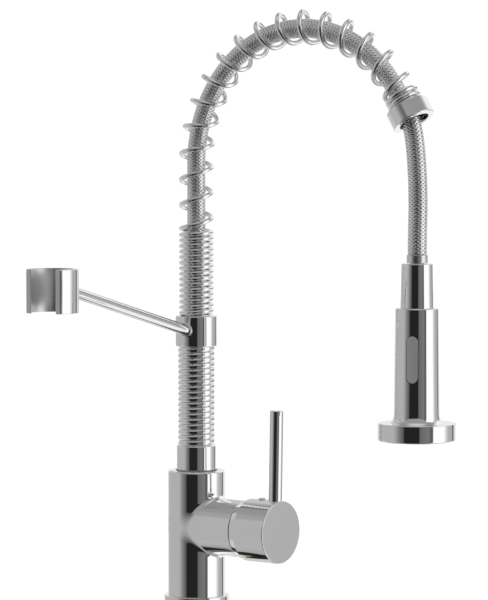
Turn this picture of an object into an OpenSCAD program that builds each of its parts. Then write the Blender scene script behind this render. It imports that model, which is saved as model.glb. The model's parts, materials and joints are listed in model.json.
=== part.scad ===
// Pull-down kitchen faucet: single side lever, spring arch spout, swinging hose holder
// and a two-spray head on a braided hose.
// Origin: centre of the base on the deck plane. +Z up, +X towards the spray head and lever.

/* [Base and body] */
// Diameter of the base ring that rests on the deck
base_d = 51.4; // [50:0.2:54]
// Height of the base ring with its gasket
base_h = 8; // [7:0.5:10]
// Outer diameter of the faucet body
body_d = 45.2; // [44:0.2:46]
// Height of the top of the body above the deck
body_top = 107.2; // [106:0.1:108]
// Diameter of the threaded shank below the deck
shank_d = 33; // [32.8:0.1:33.2]
// Length of the shank below the deck
shank_len = 62; // [58:1:66]
// Deck thickness that the clamp is set to
deck_t = 31; // [30.8:0.1:32]

/* [Handle] */
// Height of the handle's axis above the deck
handle_z = 63.6; // [63:0.1:64]
// Outer diameter of the side branch
branch_d = 45; // [44.8:0.1:45.1]
// Distance from the column axis to the end of the branch
branch_end = 49; // [48.8:0.1:49.4]
// Outer diameter of the handle cap
cap_d = 49.2; // [49:0.1:49.6]
// Distance from the column axis to the flat face of the cap
cap_face = 83.7; // [83.5:0.1:85]
// Diameter of the lever rod
lever_d = 10.7; // [10:0.1:11]
// Lean of the lever away from the column
lever_lean = 1; // [0:0.1:2]
// Height of the lever's top above the deck
lever_top = 158.6; // [150:0.1:165]

/* [Column] */
// Diameter of the smooth ring above the body
neck_d = 31.5; // [31:0.1:32]
// Height of the top of the neck ring
neck_top = 127.2; // [126.5:0.1:128]
// Outer diameter of the lower ribbed section
lower_d = 29.4; // [29:0.1:29.8]
// Number of ribs in the lower section
lower_ribs = 18; // [17:1:19]
// Diameter of the holder collar
collar_d = 33.2; // [33:0.1:33.8]
// Height of the bottom of the holder collar
collar_bottom = 205.4; // [205:0.1:206]
// Height of the top of the holder collar
collar_top = 229.6; // [229:0.1:230]

/* [Spring arch] */
// Mean diameter of the arch spring's coil
coil_d = 23.8; // [23.7:0.1:24]
// Diameter of the spring wire
wire_d = 4; // [3.8:0.1:4.1]
// Height at which the arch starts to bend
arch_z = 350; // [346:1:354]
// Radius of the arch's centre line
arch_r = 105; // [104.5:0.1:105.5]
// Angle through which the arch bends
arch_turn = 149; // [148:0.5:150]
// Outer diameter of the braided hose
hose_d = 14.8; // [14.4:0.1:15]
// Diameter of the end ferrule
ferrule_d = 33.4; // [33:0.1:34]
// Length of the end ferrule
ferrule_len = 13.4; // [13:0.1:14]

/* [Hose holder] */
// Direction in which the holder arm points at rest, about the column
arm_azimuth = -81.6; // [-90:0.2:-70]
// Upward slope of the holder rod
rod_slope = 12.9; // [12.5:0.1:13.2]
// Diameter of the holder rod
rod_d = 8.9; // [8.6:0.1:9]
// Outer diameter of the C-clip
clip_d = 38.8; // [38.4:0.1:39.4]
// Wall thickness of the C-clip
clip_wall = 3.3; // [3:0.1:3.5]
// Height of the C-clip
clip_h = 32.5; // [30:0.5:34]

/* [Spray head] */
// Horizontal distance from the column axis to the spray head's axis
reach = 211; // [210.5:0.1:211.5]
// Height of the underside of the spray head above the deck
head_bottom = 143; // [143:0.1:143]
// Diameter of the spray disc
disc_d = 59; // [58.6:0.1:59.4]
// Width of the button
button_w = 8.8; // [8.5:0.1:9.2]
// Length of the button
button_h = 35.2; // [34:0.1:36]
// Direction of the button about the head's axis
button_azimuth = -68; // [-75:0.5:-60]

/* [Hidden] */
$fn = 64;
gasket_t = 1.5;
shank_r = shank_d / 2;
thread_r = shank_r - 0.3;
passage_r = 13.8;
body_r = body_d / 2;
body_bore_r = 19;
swivel_bore_r = 16.5;
swivel_r = 14;
bush_z = 88;
branch_r = branch_d / 2;
branch_bore_r = 18.2;
cartridge_r = 17.4;
pivot_x = 40;
ball_r = 5.6;
stem_w = 6;
cap_r = cap_d / 2;
cap_bore_r = 22.9;
cap_back = branch_end + 1.2;
cap_block = 70;
lever_x = cap_face - lever_d / 2 - 0.6;
plug_x = 65.4;
neck_r = neck_d / 2;
tube_r = 11;
tube_bore_r = 9.5;
tube_step_r = 9.7;
tube_step_bore_r = 8.3;
tube_top = 290;
lower_r = lower_d / 2;
rib_gap = 0.3;
collar_r = collar_d / 2;
bush_r = 13.4;
coil_r = coil_d / 2;
wire_r = wire_d / 2;
hose_r = hose_d / 2;
hose_arc_r = arch_r - 1;
hose_sides = 12;
spring_z = collar_top + rib_gap + wire_r;
straight_run = arch_z - spring_z;
arc_run = arch_r * arch_turn * PI / 180;
seat_run = 14.4;
spring_run = straight_run + arc_run + seat_run;
closed_run = 66;
open_end = straight_run + arc_run;
closed_pitch = 4.4;
open_pitch = 20;
coil_steps = 14;
wire_sides = 6;
spring_turns = closed_run / closed_pitch + (open_end - closed_run) / open_pitch
  + (spring_run - open_end) / closed_pitch;
spring_phase = 0.145;
ferrule_r = ferrule_d / 2;
ferrule_z = 11.8;
ferrule_hole_r = 11.7;
liner_z = ferrule_z + 4.8;
rod_r = rod_d / 2;
rod_root_z = 215;
seat_ring_r = 5.6;
seat_start = 15.05;
clip_r = clip_d / 2;
clip_z = 242.5;
clip_cut = 12.7;
disc_r = disc_d / 2;
disc_top = 156.5;
flare_top = 163.9;
shoulder_z = 243;
neck_end = 276.4;
crimp_top = 282.9;
button_z = 205;
button_gap = 0.2;
button_pivot_r = 15.2;
button_pin_r = 0.7;
button_pin_reach = 5.2;
spool_r = 4.95;
// Points that the hose passes between the ferrule and the spray head
hose_route = [
  [201.5, 0, 389.6],
  [204.2, 0, 384.6],
  [205.8, 0, 380.2],
  [207, 0, 375.5],
  [208.1, 0, 370],
  [209, 0, 364],
  [209.8, 0, 357],
  [210.4, 0, 350],
  [210.9, 0, 342.5],
  [211.3, 0, 335],
  [211.5, 0, 326.5],
  [211.6, 0, 318],
  [211.4, 0, 309],
  [211.2, 0, 300],
  [211.1, 0, 291.5],
  [211.1, 0, 283.3]
];

// ---- shared shapes ----

// A tube about Z between two heights
module tube(outer, inner, low, high) {
  translate([0, 0, low])
    difference() {
      cylinder(r = outer, h = high - low);
      translate([0, 0, -1]) cylinder(r = inner, h = high - low + 2);
    }
}

// A solid rod about Z between two heights
module rod(radius, low, high) {
  translate([0, 0, low]) cylinder(r = radius, h = high - low);
}

// A revolved outline of [radius, height] points
module turned(points) {
  rotate_extrude() polygon(points);
}

// An O-ring about Z
module o_ring(mean, section, height) {
  translate([0, 0, height])
    rotate_extrude() translate([mean, 0]) circle(r = section, $fn = 32);
}

// Children drawn about Z are laid along the handle's axis, height becoming distance from the column
module on_handle() {
  translate([0, 0, handle_z]) rotate([0, 90, 0]) children();
}

// Children drawn about Z are set along the lever, from the handle's axis upwards
module on_lever() {
  translate([lever_x, 0, handle_z]) rotate([0, lever_lean, 0]) children();
}

// Children drawn about Z are set on the arch after it has bent by an angle
module on_arch(angle) {
  translate([arch_r * (1 - cos(angle)), 0, arch_z + arch_r * sin(angle)])
    rotate([0, angle, 0]) children();
}

// Children drawn with the arm along +X are turned to the arm's direction at rest
module on_arm() {
  rotate([0, 0, arm_azimuth]) children();
}

// Children drawn about Z are laid along the holder rod, from the column axis outwards
module on_rod() {
  on_arm() translate([0, 0, rod_root_z]) rotate([0, 90 - rod_slope, 0]) children();
}

// Children are moved to the spray head's axis
module on_head() {
  translate([reach, 0, 0]) children();
}

// Children drawn with the button on +X are turned to the button's direction
module on_button() {
  on_head() rotate([0, 0, button_azimuth]) children();
}

// ---- base and clamp ----

module deck_gasket() {
  color("dimgray") tube(base_d / 2 - 1.2, shank_r + 0.5, 0, gasket_t);
}

module base_ring() {
  edge = 0.6;
  ring_r = base_d / 2;
  color("silver") turned([
    [shank_r + 0.1, gasket_t], [ring_r, gasket_t], [ring_r, base_h - edge],
    [ring_r - edge, base_h], [body_bore_r - 0.1, base_h], [body_bore_r - 0.1, base_h + 6],
    [shank_r + 0.1, base_h + 6]
  ]);
}

module mounting_shank() {
  color("darkkhaki")
    difference() {
      union() {
        rod(thread_r, -shank_len, base_h + 6);
        rod(shank_r, 1 - deck_t, 0);
      }
      rod(passage_r, -shank_len - 1, base_h + 7);
    }
}

module counter_gasket() {
  color("dimgray") tube(27.5, shank_r + 0.5, -deck_t - 2.5, -deck_t);
}

module clamp_washer() {
  color("lightgray") tube(27, shank_r + 0.3, -deck_t - 4.5, -deck_t - 2.5);
}

module mounting_nut() {
  color("goldenrod")
    difference() {
      union() {
        translate([0, 0, -deck_t - 14.5]) cylinder(r = 25, h = 9, $fn = 6);
        rod(22.5, -deck_t - 5.5, -deck_t - 4.5);
      }
      rod(thread_r + 0.05, -deck_t - 16, -deck_t - 4);
    }
}

// ---- body and cartridge ----

module body_shell() {
  edge = 0.5;
  color("silver")
    difference() {
      union() {
        turned([
          [0, base_h], [body_r, base_h], [body_r, body_top - edge],
          [body_r - edge, body_top], [0, body_top]
        ]);
        on_handle() rod(branch_r, 0, branch_end);
      }
      rod(body_bore_r, base_h - 1, bush_z);
      rod(swivel_bore_r, bush_z - 1, body_top + 1);
      on_handle() rod(branch_bore_r, 0, branch_end + 1);
    }
}

module water_core() {
  inlet_x = -6;
  inlet_y = 6.2;
  core_low = base_h + 6.5;
  color("darkkhaki")
    difference() {
      union() {
        rod(body_bore_r - 0.2, core_low, 84);
        on_handle() rod(branch_bore_r - 0.3, 0, 21);
      }
      for (side = [-1, 1]) {
        translate([inlet_x, side * inlet_y, 0]) rod(5, core_low - 1, core_low + 14);
        translate([inlet_x, side * inlet_y, 0]) rod(3, core_low + 13, handle_z + 3);
        translate([0, side * inlet_y, 0]) on_handle() rod(3, inlet_x, 22);
      }
      translate([0, 0, 10]) on_handle() rod(3, 0, 22);
      rod(3, handle_z + 10, 85);
      o_ring_groove = 1.6;
      tube(body_bore_r + 1, body_bore_r - 0.2 - o_ring_groove, 19, 21.6);
    }
}

module core_o_ring() {
  color("black") o_ring(18.1, 0.88, 20.3);
}

module swivel_bush() {
  color("white") tube(swivel_bore_r, swivel_r + 0.05, bush_z, body_top);
}

module slip_washer() {
  color("white") tube(neck_r - 0.3, swivel_r + 0.3, body_top, body_top + 0.5);
}

module cartridge_body() {
  color("white")
    on_handle()
      difference() {
        rod(cartridge_r, 22, 44);
        rod(12.5, 30.5, 45);
        for (side = [-1, 1]) translate([0, side * 6.2, 0]) rod(3, 21, 31);
        translate([-10, 0, 0]) rod(3, 21, 31);
      }
}

module cartridge_seal() {
  color("black")
    on_handle() {
      for (side = [-1, 1]) translate([0, side * 6.2, 0]) tube(4.4, 3, 21, 22);
      translate([-10, 0, 0]) tube(4.4, 3, 21, 22);
    }
}

module cartridge_nut() {
  color("darkkhaki") on_handle() tube(branch_bore_r - 0.1, 12.6, 44, branch_end - 0.4);
}

module bonnet_dome() {
  dome_r = 20;
  low = branch_end - pivot_x;
  mouth_r = 12;
  color("silver")
    on_handle()
      translate([0, 0, pivot_x])
        difference() {
          union() {
            intersection() {
              sphere(r = dome_r);
              rod(dome_r, low, dome_r);
            }
            rod(branch_bore_r - 0.1, low - 0.4, low);
          }
          sphere(r = dome_r - 1.5);
          rod(mouth_r, 0, dome_r + 1);
        }
}

// ---- handle ----

module cartridge_rotor() {
  color("whitesmoke")
    on_handle()
      difference() {
        rod(12.4, 31, 43.5);
        translate([0, 0, pivot_x]) sphere(r = ball_r + 0.1);
        translate([0, 0, pivot_x]) cylinder(r1 = 4, r2 = 10, h = 5);
      }
}

module cartridge_stem() {
  color("lightgray")
    on_handle() {
      translate([0, 0, pivot_x]) sphere(r = ball_r);
      translate([-stem_w / 2, -stem_w / 2, pivot_x]) cube([stem_w, stem_w, 72 - pivot_x]);
    }
}

module handle_cap() {
  bevel = 5;
  edge = 0.7;
  boss_x = 61;
  color("silver")
    difference() {
      on_handle()
        difference() {
          union() {
            turned([
              [cap_bore_r, cap_back], [cap_bore_r + 0.5, cap_back], [cap_r, cap_back + bevel],
              [cap_r, cap_face - edge], [cap_r - edge, cap_face], [0, cap_face],
              [0, cap_block], [cap_bore_r, cap_block]
            ]);
            rod(7.5, boss_x, cap_block + 1);
          }
          translate([-stem_w / 2, -stem_w / 2, boss_x - 1])
            cube([stem_w, stem_w, 72 - boss_x + 1]);
        }
      on_lever() rod(lever_d / 2, 10, cap_r + 1);
      translate([plug_x, 0, handle_z]) rod(3.7, 20, cap_r + 1);
      translate([plug_x, 0, handle_z]) rod(2.5, 0, 10);
    }
}

module lever_rod() {
  edge = 0.5;
  lever_r = lever_d / 2;
  length = lever_top - handle_z;
  color("silver")
    on_lever()
      turned([
        [0, 10], [lever_r, 10], [lever_r, length - edge], [lever_r - edge, length], [0, length]
      ]);
}

module handle_grub_screw() {
  color("dimgray")
    translate([plug_x, 0, handle_z])
      difference() {
        rod(2.5, stem_w / 2, 7.2);
        translate([0, 0, 5]) cylinder(r = 1.4, h = 3, $fn = 6);
      }
}

module index_plug() {
  color("silver")
    translate([plug_x, 0, handle_z])
      intersection() {
        rod(3.7, cap_bore_r + 0.1, cap_r + 1.6);
        translate([0, 0, cap_r - 5.5]) sphere(r = 7);
      }
}

// ---- column ----

module swivel_spigot() {
  color("darkkhaki")
    difference() {
      rod(swivel_r, 84.6, 112);
      rod(6.5, 84, 113);
      tube(swivel_r + 1, 13.2, 86.2, 87.6);
      for (height = [93, 99]) tube(swivel_r + 1, 11.8, height - 1.2, height + 1.2);
    }
}

module swivel_o_rings() {
  color("black") for (height = [93, 99]) o_ring(12.9, 1.08, height);
}

module spout_clip() {
  color("dimgray")
    difference() {
      tube(15.6, 13.2, 86.25, 87.55);
      translate([-20, -2, 80]) cube([10, 4, 10]);
    }
}

module neck_ring() {
  edge = 0.5;
  color("silver") turned([
    [swivel_r, body_top + 0.6], [neck_r, body_top + 0.6], [neck_r, neck_top - edge],
    [neck_r - edge, neck_top], [tube_r, neck_top], [tube_r, 112], [swivel_r, 112]
  ]);
}

module column_tube() {
  color("silver")
    difference() {
      union() {
        rod(tube_r, 112, collar_top);
        rod(tube_step_r, collar_top - 1, tube_top);
      }
      rod(tube_bore_r, 111, collar_bottom);
      rod(tube_step_bore_r, 112, tube_top + 1);
    }
}

module lower_spring() {
  pitch = (collar_bottom - rib_gap - neck_top) / lower_ribs;
  crown_r = 3.3;
  color("silver")
    rotate_extrude()
      for (i = [0:lower_ribs - 1])
        translate([0, neck_top + (i + 0.5) * pitch])
          intersection() {
            translate([lower_r - crown_r, 0]) circle(r = crown_r, $fn = 20);
            translate([tube_r, -pitch / 2]) square([lower_r, pitch]);
          }
}

module hose_tail_nut() {
  color("darkkhaki")
    difference() {
      translate([0, 0, 112]) cylinder(r = 9.2, h = 8, $fn = 6);
      rod(4, 111, 121);
    }
}

// ---- spring arch ----

// Ring of points around the hose after it has bent by an angle, moved on along its direction
function hose_arc_ring(angle, moved) =
  let (ahead = [sin(angle), 0, cos(angle)], across = [-cos(angle), 0, sin(angle)])
  let (middle = [hose_arc_r * (1 - cos(angle)), 0, arch_z + hose_arc_r * sin(angle)])
  [for (k = [0:hose_sides - 1])
    let (a = 360 * k / hose_sides)
    middle + ahead * moved + hose_r * (cos(a) * across + sin(a) * [0, -1, 0])];

module hose_arch() {
  tail_z = 120;
  end_run = 15.9;
  bends = 38;
  rings = concat(
    [hose_arc_ring(0, tail_z - arch_z)],
    [for (i = [0:bends]) hose_arc_ring(arch_turn * i / bends, 0)],
    [hose_arc_ring(arch_turn, end_run)]
  );
  color("gray")
    polyhedron(points = [for (r = rings) each r], faces = tube_faces(len(rings), hose_sides));
}

// Bend angle, centre point and direction of the arch at a distance along its centre line
function bend(s) = min(max((s - straight_run) / arc_run, 0), 1) * arch_turn;
function along(s) = [sin(bend(s)), 0, cos(bend(s))];
function centre(s) =
  [arch_r * (1 - cos(bend(s))), 0, arch_z + arch_r * sin(bend(s))]
  + along(s) * (min(s - straight_run, 0) + max(s - straight_run - arc_run, 0));

// Distance along the centre line at which the coil has made a number of turns
closed_turns = closed_run / closed_pitch;
open_turns = (open_end - closed_run) / open_pitch;
function run_at(turns) =
  min(turns, closed_turns) * closed_pitch
  + min(max(turns - closed_turns, 0), open_turns) * open_pitch
  + max(turns - closed_turns - open_turns, 0) * closed_pitch;

// Outward direction of the wire from the centre line after a number of turns
function coil_out(turns) =
  let (s = run_at(turns), angle = 360 * (turns + spring_phase))
  cos(angle) * [-cos(bend(s)), 0, sin(bend(s))] + sin(angle) * [0, -1, 0];

function wire_ring(turns) = [
  for (k = [0:wire_sides - 1])
    let (s = run_at(turns), a = 360 * k / wire_sides)
    centre(s) + coil_out(turns) * (coil_r + wire_r * cos(a)) + along(s) * wire_r * sin(a)
];

// Side faces of a tube made of rings of points, and its two ends
function tube_faces(rings, sides) = concat(
  [[for (k = [sides - 1:-1:0]) k]],
  [for (i = [0:rings - 2], k = [0:sides - 1]) [
    i * sides + k, i * sides + (k + 1) % sides,
    (i + 1) * sides + (k + 1) % sides, (i + 1) * sides + k
  ]],
  [[for (k = [0:sides - 1]) (rings - 1) * sides + k]]
);

module arch_spring() {
  rings = floor(spring_turns * coil_steps);
  points = [for (i = [0:rings - 1]) each wire_ring(i / coil_steps)];
  color("silver")
    render() polyhedron(points = points, faces = tube_faces(rings, wire_sides), convexity = 20);
}

module end_ferrule() {
  edge = 0.6;
  high = ferrule_z + ferrule_len;
  seat_r = 14.1;
  color("silver")
    on_arch(arch_turn)
      turned([
        [seat_r, ferrule_z], [ferrule_r - edge, ferrule_z], [ferrule_r, ferrule_z + edge],
        [ferrule_r, high - edge], [ferrule_r - edge, high], [ferrule_hole_r, high],
        [ferrule_hole_r, liner_z], [seat_r, liner_z]
      ]);
}

module ferrule_liner() {
  color("dimgray") on_arch(arch_turn) tube(ferrule_hole_r - 0.05, 10.4, liner_z, liner_z + 5);
}

// ---- hose holder ----

module holder_collar() {
  edge = 0.7;
  color("silver")
    difference() {
      turned([
        [bush_r, collar_bottom], [collar_r - edge, collar_bottom], [collar_r, collar_bottom + edge],
        [collar_r, collar_top - edge], [collar_r - edge, collar_top], [bush_r, collar_top]
      ]);
      on_rod() rod(seat_ring_r, seat_start - 0.05, 30);
      on_arm() translate([0, 0, 217.5]) rotate([0, -90, 0]) rod(2, 10, 20);
    }
}

module holder_bush() {
  color("white") tube(bush_r, tube_r + 0.05, collar_bottom + 0.2, collar_top - 0.2);
}

module collar_grub_screw() {
  color("dimgray")
    on_arm()
      translate([0, 0, 217.5])
        rotate([0, -90, 0])
          difference() {
            rod(2, bush_r + 0.1, collar_r - 0.4);
            translate([0, 0, collar_r - 2]) cylinder(r = 1.1, h = 2, $fn = 6);
          }
}

module rod_seat_ring() {
  color("silver") on_rod() tube(seat_ring_r, rod_r, seat_start, 18.8);
}

module holder_rod() {
  color("silver")
    difference() {
      on_rod() rod(rod_r, seat_start, reach);
      on_arm() translate([reach, 0, 0]) rod(clip_r - clip_wall + 0.4, clip_z, clip_z + clip_h);
    }
}

module holder_clip() {
  color("silver")
    difference() {
      on_arm()
        translate([reach, 0, 0])
          difference() {
            tube(clip_r, clip_r - clip_wall, clip_z, clip_z + clip_h);
            translate([clip_cut, -clip_r, clip_z - 1]) cube([clip_r, clip_d, clip_h + 2]);
          }
      intersection() {
        on_rod() rod(rod_r, 150, reach);
        on_arm()
          translate([reach, 0, 0])
            tube(clip_r + 10, clip_r - clip_wall + 0.4, clip_z, clip_z + clip_h);
      }
    }
}

// ---- hose ----

// Direction of the route at a point, from its neighbours
function route_dir(i) =
  let (last = len(hose_route) - 1)
  let (d = hose_route[min(i + 1, last)] - hose_route[max(i - 1, 0)])
  d / norm(d);

// Ring of points around the hose at a point of its route
function hose_ring(i) =
  let (d = route_dir(i), across = [-d[2], 0, d[0]])
  [for (k = [0:hose_sides - 1])
    let (a = 360 * k / hose_sides)
    hose_route[i] + hose_r * (cos(a) * across + sin(a) * [0, -1, 0])];

module hose_drop() {
  rings = len(hose_route);
  points = [for (i = [0:rings - 1]) each hose_ring(i)];
  color("gray") polyhedron(points = points, faces = tube_faces(rings, hose_sides));
}

module hose_crimp() {
  color("silver") on_head() tube(8.05, 5.1, neck_end + 0.4, crimp_top);
}

module hose_fitting() {
  color("darkkhaki")
    on_head()
      difference() {
        union() {
          rod(5.1, 254, crimp_top);
          rod(8, 270, neck_end - 3.3);
        }
        rod(3, 253, crimp_top + 1);
        tube(7, 3.9, 256, 258.2);
      }
}

module spindle_o_ring() {
  color("black") on_head() o_ring(4.5, 0.6, 257.1);
}

// ---- spray head ----

module spray_neck() {
  edge = 0.5;
  color("silver")
    on_head()
      turned([
        [9.6, shoulder_z - 3], [11.9, shoulder_z - 3], [11.9, shoulder_z], [12.6, shoulder_z],
        [12, neck_end - edge], [12 - edge, neck_end], [5.15, neck_end], [5.15, neck_end - 3],
        [9.6, neck_end - 3]
      ]);
}

module swivel_seat() {
  color("white") on_head() tube(9.5, 5.15, shoulder_z - 3, 262);
}

module check_valve() {
  color("dodgerblue") on_head() tube(9.5, 4, 224, 239.5);
}

module spray_body() {
  edge = 0.8;
  wall = 14.4;
  flare_r = 21;
  arc_steps = 6;
  flare_h = flare_top - disc_top;
  flare = [
    for (i = [0:arc_steps])
      let (a = 90 * i / arc_steps)
      [17.3 + (flare_r - 17.3) * (1 - sin(a)), disc_top + flare_h * (1 - cos(a))]
  ];
  color("silver")
    difference() {
      on_head()
        turned(concat(
          [[wall, disc_top]],
          flare,
          [
            [16.45, shoulder_z - edge], [16.45 - edge, shoulder_z], [11.95, shoulder_z],
            [11.95, shoulder_z - 3.4], [wall, shoulder_z - 3.4]
          ]
        ));
      button_pill(button_w / 2 + button_gap, button_h / 2 + button_gap, 12, 20);
      on_button()
        translate([button_pivot_r, 0, button_z])
          rotate([90, 0, 0]) rod(button_pin_r, -button_pin_reach, button_pin_reach);
    }
}

// A pill-shaped prism through the wall at the button
module button_pill(half_w, half_h, near, far) {
  on_button()
    translate([0, 0, button_z])
      rotate([0, 90, 0]) {
        for (end = [-1, 1]) translate([end * (half_h - half_w), 0, 0]) rod(half_w, near, far);
        translate([-(half_h - half_w), -half_w, near])
          cube([2 * (half_h - half_w), 2 * half_w, far - near]);
      }
}

module spray_button() {
  color("gray")
    difference() {
      intersection() {
        button_pill(button_w / 2, button_h / 2, 10, 20);
        on_head() tube(17.15, 14.2, button_z - button_h, button_z + button_h);
      }
      on_button()
        translate([button_pivot_r, 0, button_z])
          rotate([90, 0, 0]) rod(button_pin_r + 0.05, -button_w, button_w);
    }
}

module button_pin() {
  color("lightgray")
    on_button()
      translate([button_pivot_r, 0, button_z])
        rotate([90, 0, 0]) rod(button_pin_r, -button_pin_reach, button_pin_reach);
}

module diverter_valve() {
  color("white")
    on_head()
      difference() {
        rod(12.4, 186, 222);
        rod(spool_r + 0.05, 190, 217);
        rod(2.5, 185, 223);
      }
}

module diverter_spool() {
  color("gray")
    on_head()
      difference() {
        rod(spool_r, 192, 214.5);
        for (height = [197, 203, 209]) tube(spool_r + 1, 3.2, height - 1.5, height + 1.5);
      }
}

module flow_sleeve() {
  color("white") on_head() tube(12.3, 9.7, 148, 185.8);
}

module spray_bell() {
  edge = 0.6;
  lip = 1.4;
  color("silver")
    on_head()
      turned([
        [26.4, head_bottom], [disc_r - lip, head_bottom], [disc_r - 0.4, head_bottom + 0.4],
        [disc_r, head_bottom + lip], [disc_r, disc_top - edge], [disc_r - edge, disc_top],
        [12.5, disc_top], [12.5, disc_top - 3], [26.4, disc_top - 3]
      ]);
}

nozzle_rows = [[8, 13.2], [14, 18.4], [20, 23.6]];
nozzle_r = 1.1;

// Children are repeated at every nozzle position
module at_nozzles() {
  on_head()
    for (row = nozzle_rows, i = [0:row[0] - 1])
      rotate([0, 0, 360 * i / row[0]]) translate([row[1], 0, 0]) children();
}

module nozzle_plate() {
  color("dimgray")
    difference() {
      on_head() tube(26.3, 9.6, head_bottom + 1, head_bottom + 4);
      at_nozzles() rod(nozzle_r, head_bottom, head_bottom + 5);
    }
}

module spray_nozzles() {
  color("black") at_nozzles() rod(nozzle_r, head_bottom + 0.2, head_bottom + 5);
}

module aerator() {
  color("lightgray")
    on_head()
      difference() {
        rod(9.5, head_bottom + 0.6, 160);
        rod(7.6, head_bottom, head_bottom + 3);
      }
}

deck_gasket();
base_ring();
body_shell();
mounting_shank();
water_core();
core_o_ring();
swivel_bush();
slip_washer();
cartridge_body();
cartridge_seal();
cartridge_nut();
bonnet_dome();
counter_gasket();
clamp_washer();
mounting_nut();
cartridge_rotor();
cartridge_stem();
handle_cap();
lever_rod();
handle_grub_screw();
index_plug();
swivel_spigot();
swivel_o_rings();
spout_clip();
neck_ring();
column_tube();
lower_spring();
hose_tail_nut();
hose_arch();
arch_spring();
end_ferrule();
ferrule_liner();
holder_collar();
holder_bush();
collar_grub_screw();
rod_seat_ring();
holder_rod();
holder_clip();
hose_drop();
hose_crimp();
hose_fitting();
spindle_o_ring();
spray_neck();
swivel_seat();
check_valve();
spray_body();
diverter_valve();
diverter_spool();
flow_sleeve();
spray_bell();
nozzle_plate();
spray_nozzles();
aerator();
button_pin();
spray_button();
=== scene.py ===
"""Looks of a pull-down kitchen faucet: chrome body, wound springs, braided hose and spray head.

Lengths in the shape functions are in millimetres and become metres when a mesh is made.
"""

import json
import math

import bmesh
import bpy
import numpy as np
from mathutils import Matrix, Vector


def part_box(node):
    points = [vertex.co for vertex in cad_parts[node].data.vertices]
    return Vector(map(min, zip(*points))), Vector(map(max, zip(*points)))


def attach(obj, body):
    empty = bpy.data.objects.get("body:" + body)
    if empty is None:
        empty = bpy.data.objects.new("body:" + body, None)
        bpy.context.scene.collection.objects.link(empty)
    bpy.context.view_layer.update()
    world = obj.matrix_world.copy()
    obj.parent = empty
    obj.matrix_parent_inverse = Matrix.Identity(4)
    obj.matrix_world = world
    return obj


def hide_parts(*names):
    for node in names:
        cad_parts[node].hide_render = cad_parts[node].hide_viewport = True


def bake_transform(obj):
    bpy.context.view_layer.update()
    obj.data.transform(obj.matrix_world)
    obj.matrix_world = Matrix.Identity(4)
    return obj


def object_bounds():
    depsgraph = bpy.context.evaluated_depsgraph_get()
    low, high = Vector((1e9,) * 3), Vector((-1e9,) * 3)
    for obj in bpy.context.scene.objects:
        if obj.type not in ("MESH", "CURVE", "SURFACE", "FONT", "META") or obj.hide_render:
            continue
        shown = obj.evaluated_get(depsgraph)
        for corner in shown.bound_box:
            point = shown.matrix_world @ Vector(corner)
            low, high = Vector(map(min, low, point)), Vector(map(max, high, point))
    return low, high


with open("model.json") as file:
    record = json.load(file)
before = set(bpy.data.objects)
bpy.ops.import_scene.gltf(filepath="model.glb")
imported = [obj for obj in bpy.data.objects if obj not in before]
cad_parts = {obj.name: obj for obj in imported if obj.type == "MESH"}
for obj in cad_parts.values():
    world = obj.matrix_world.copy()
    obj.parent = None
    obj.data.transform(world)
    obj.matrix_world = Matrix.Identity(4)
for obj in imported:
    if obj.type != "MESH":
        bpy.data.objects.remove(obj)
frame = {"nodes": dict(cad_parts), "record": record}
CAD_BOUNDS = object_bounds()
MM = 0.001


# ---- places and sizes, read from the frame ----

def low(node, axis):
    """Lowest coordinate of a CAD node along an axis, in millimetres."""
    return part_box(node)[0][axis] / MM


def high(node, axis):
    """Highest coordinate of a CAD node along an axis, in millimetres."""
    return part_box(node)[1][axis] / MM


def width(node, axis):
    """Size of a CAD node along an axis, in millimetres."""
    return high(node, axis) - low(node, axis)


def middle(node, axis):
    """Centre of a CAD node's box along an axis, in millimetres."""
    return (high(node, axis) + low(node, axis)) / 2


X, Y, Z = 0, 1, 2
BASE_R = width("base_ring", X) / 2
BASE_Z = low("base_ring", Z)
BODY_Z = low("body_shell", Z)
BODY_TOP = high("body_shell", Z)
BODY_R = width("body_shell", Y) / 2
BRANCH_END = high("body_shell", X)
HANDLE_Z = middle("handle_cap", Z)
CAP_R = width("handle_cap", Y) / 2
CAP_BACK = low("handle_cap", X)
CAP_FACE = high("handle_cap", X)
LEVER_R = width("lever_rod", Y) / 2
LEVER_INSET = 0.6
LEVER_X = CAP_FACE - LEVER_R - LEVER_INSET
PLUG_X = middle("index_plug", X)
NECK_R = width("neck_ring", X) / 2
NECK_Z = low("neck_ring", Z)
NECK_TOP = high("neck_ring", Z)
LOWER_R = width("lower_spring", X) / 2
COLLAR_R = width("holder_collar", X) / 2
COLLAR_Z = low("holder_collar", Z)
COLLAR_TOP = high("holder_collar", Z)
HEAD_X = middle("spray_bell", X)
SHOULDER_Z = high("spray_body", Z)
HEAD_Z = low("spray_bell", Z)
DISC_R = width("spray_bell", Y) / 2
DISC_TOP = high("spray_bell", Z)
SPRAY_NECK_TOP = high("spray_neck", Z)
CRIMP_Z = low("hose_crimp", Z)
CRIMP_TOP = high("hose_crimp", Z)
CRIMP_R = width("hose_crimp", Y) / 2
BUTTON_Z = middle("spray_button", Z)
BUTTON_H = width("spray_button", Z)
CLIP_Z = low("holder_clip", Z)
CLIP_TOP = high("holder_clip", Z)

# ---- sizes that a box in the frame doesn't show: millimetres and degrees ----

BRANCH_R = 22.5
LEVER_LENGTH = 95.0
LEVER_LEAN = 1.0

# The arch bends from the vertical through ARCH_TURN, about a point level with ARCH_Z
ARCH_Z = 350.0
ARCH_R = 105.0
ARCH_TURN = 149.0
FERRULE_LOW = 11.8
FERRULE_TOP = 25.2
FERRULE_R = 16.7
FERRULE_HOLE_R = 11.7
HOSE_R = 7.4
ARM_AZIMUTH = -81.6
ROD_SLOPE = 12.9
ROD_ROOT_Z = 215.0
ROD_R = 4.45
CLIP_R = 19.4
CLIP_WALL = 3.3
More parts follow.
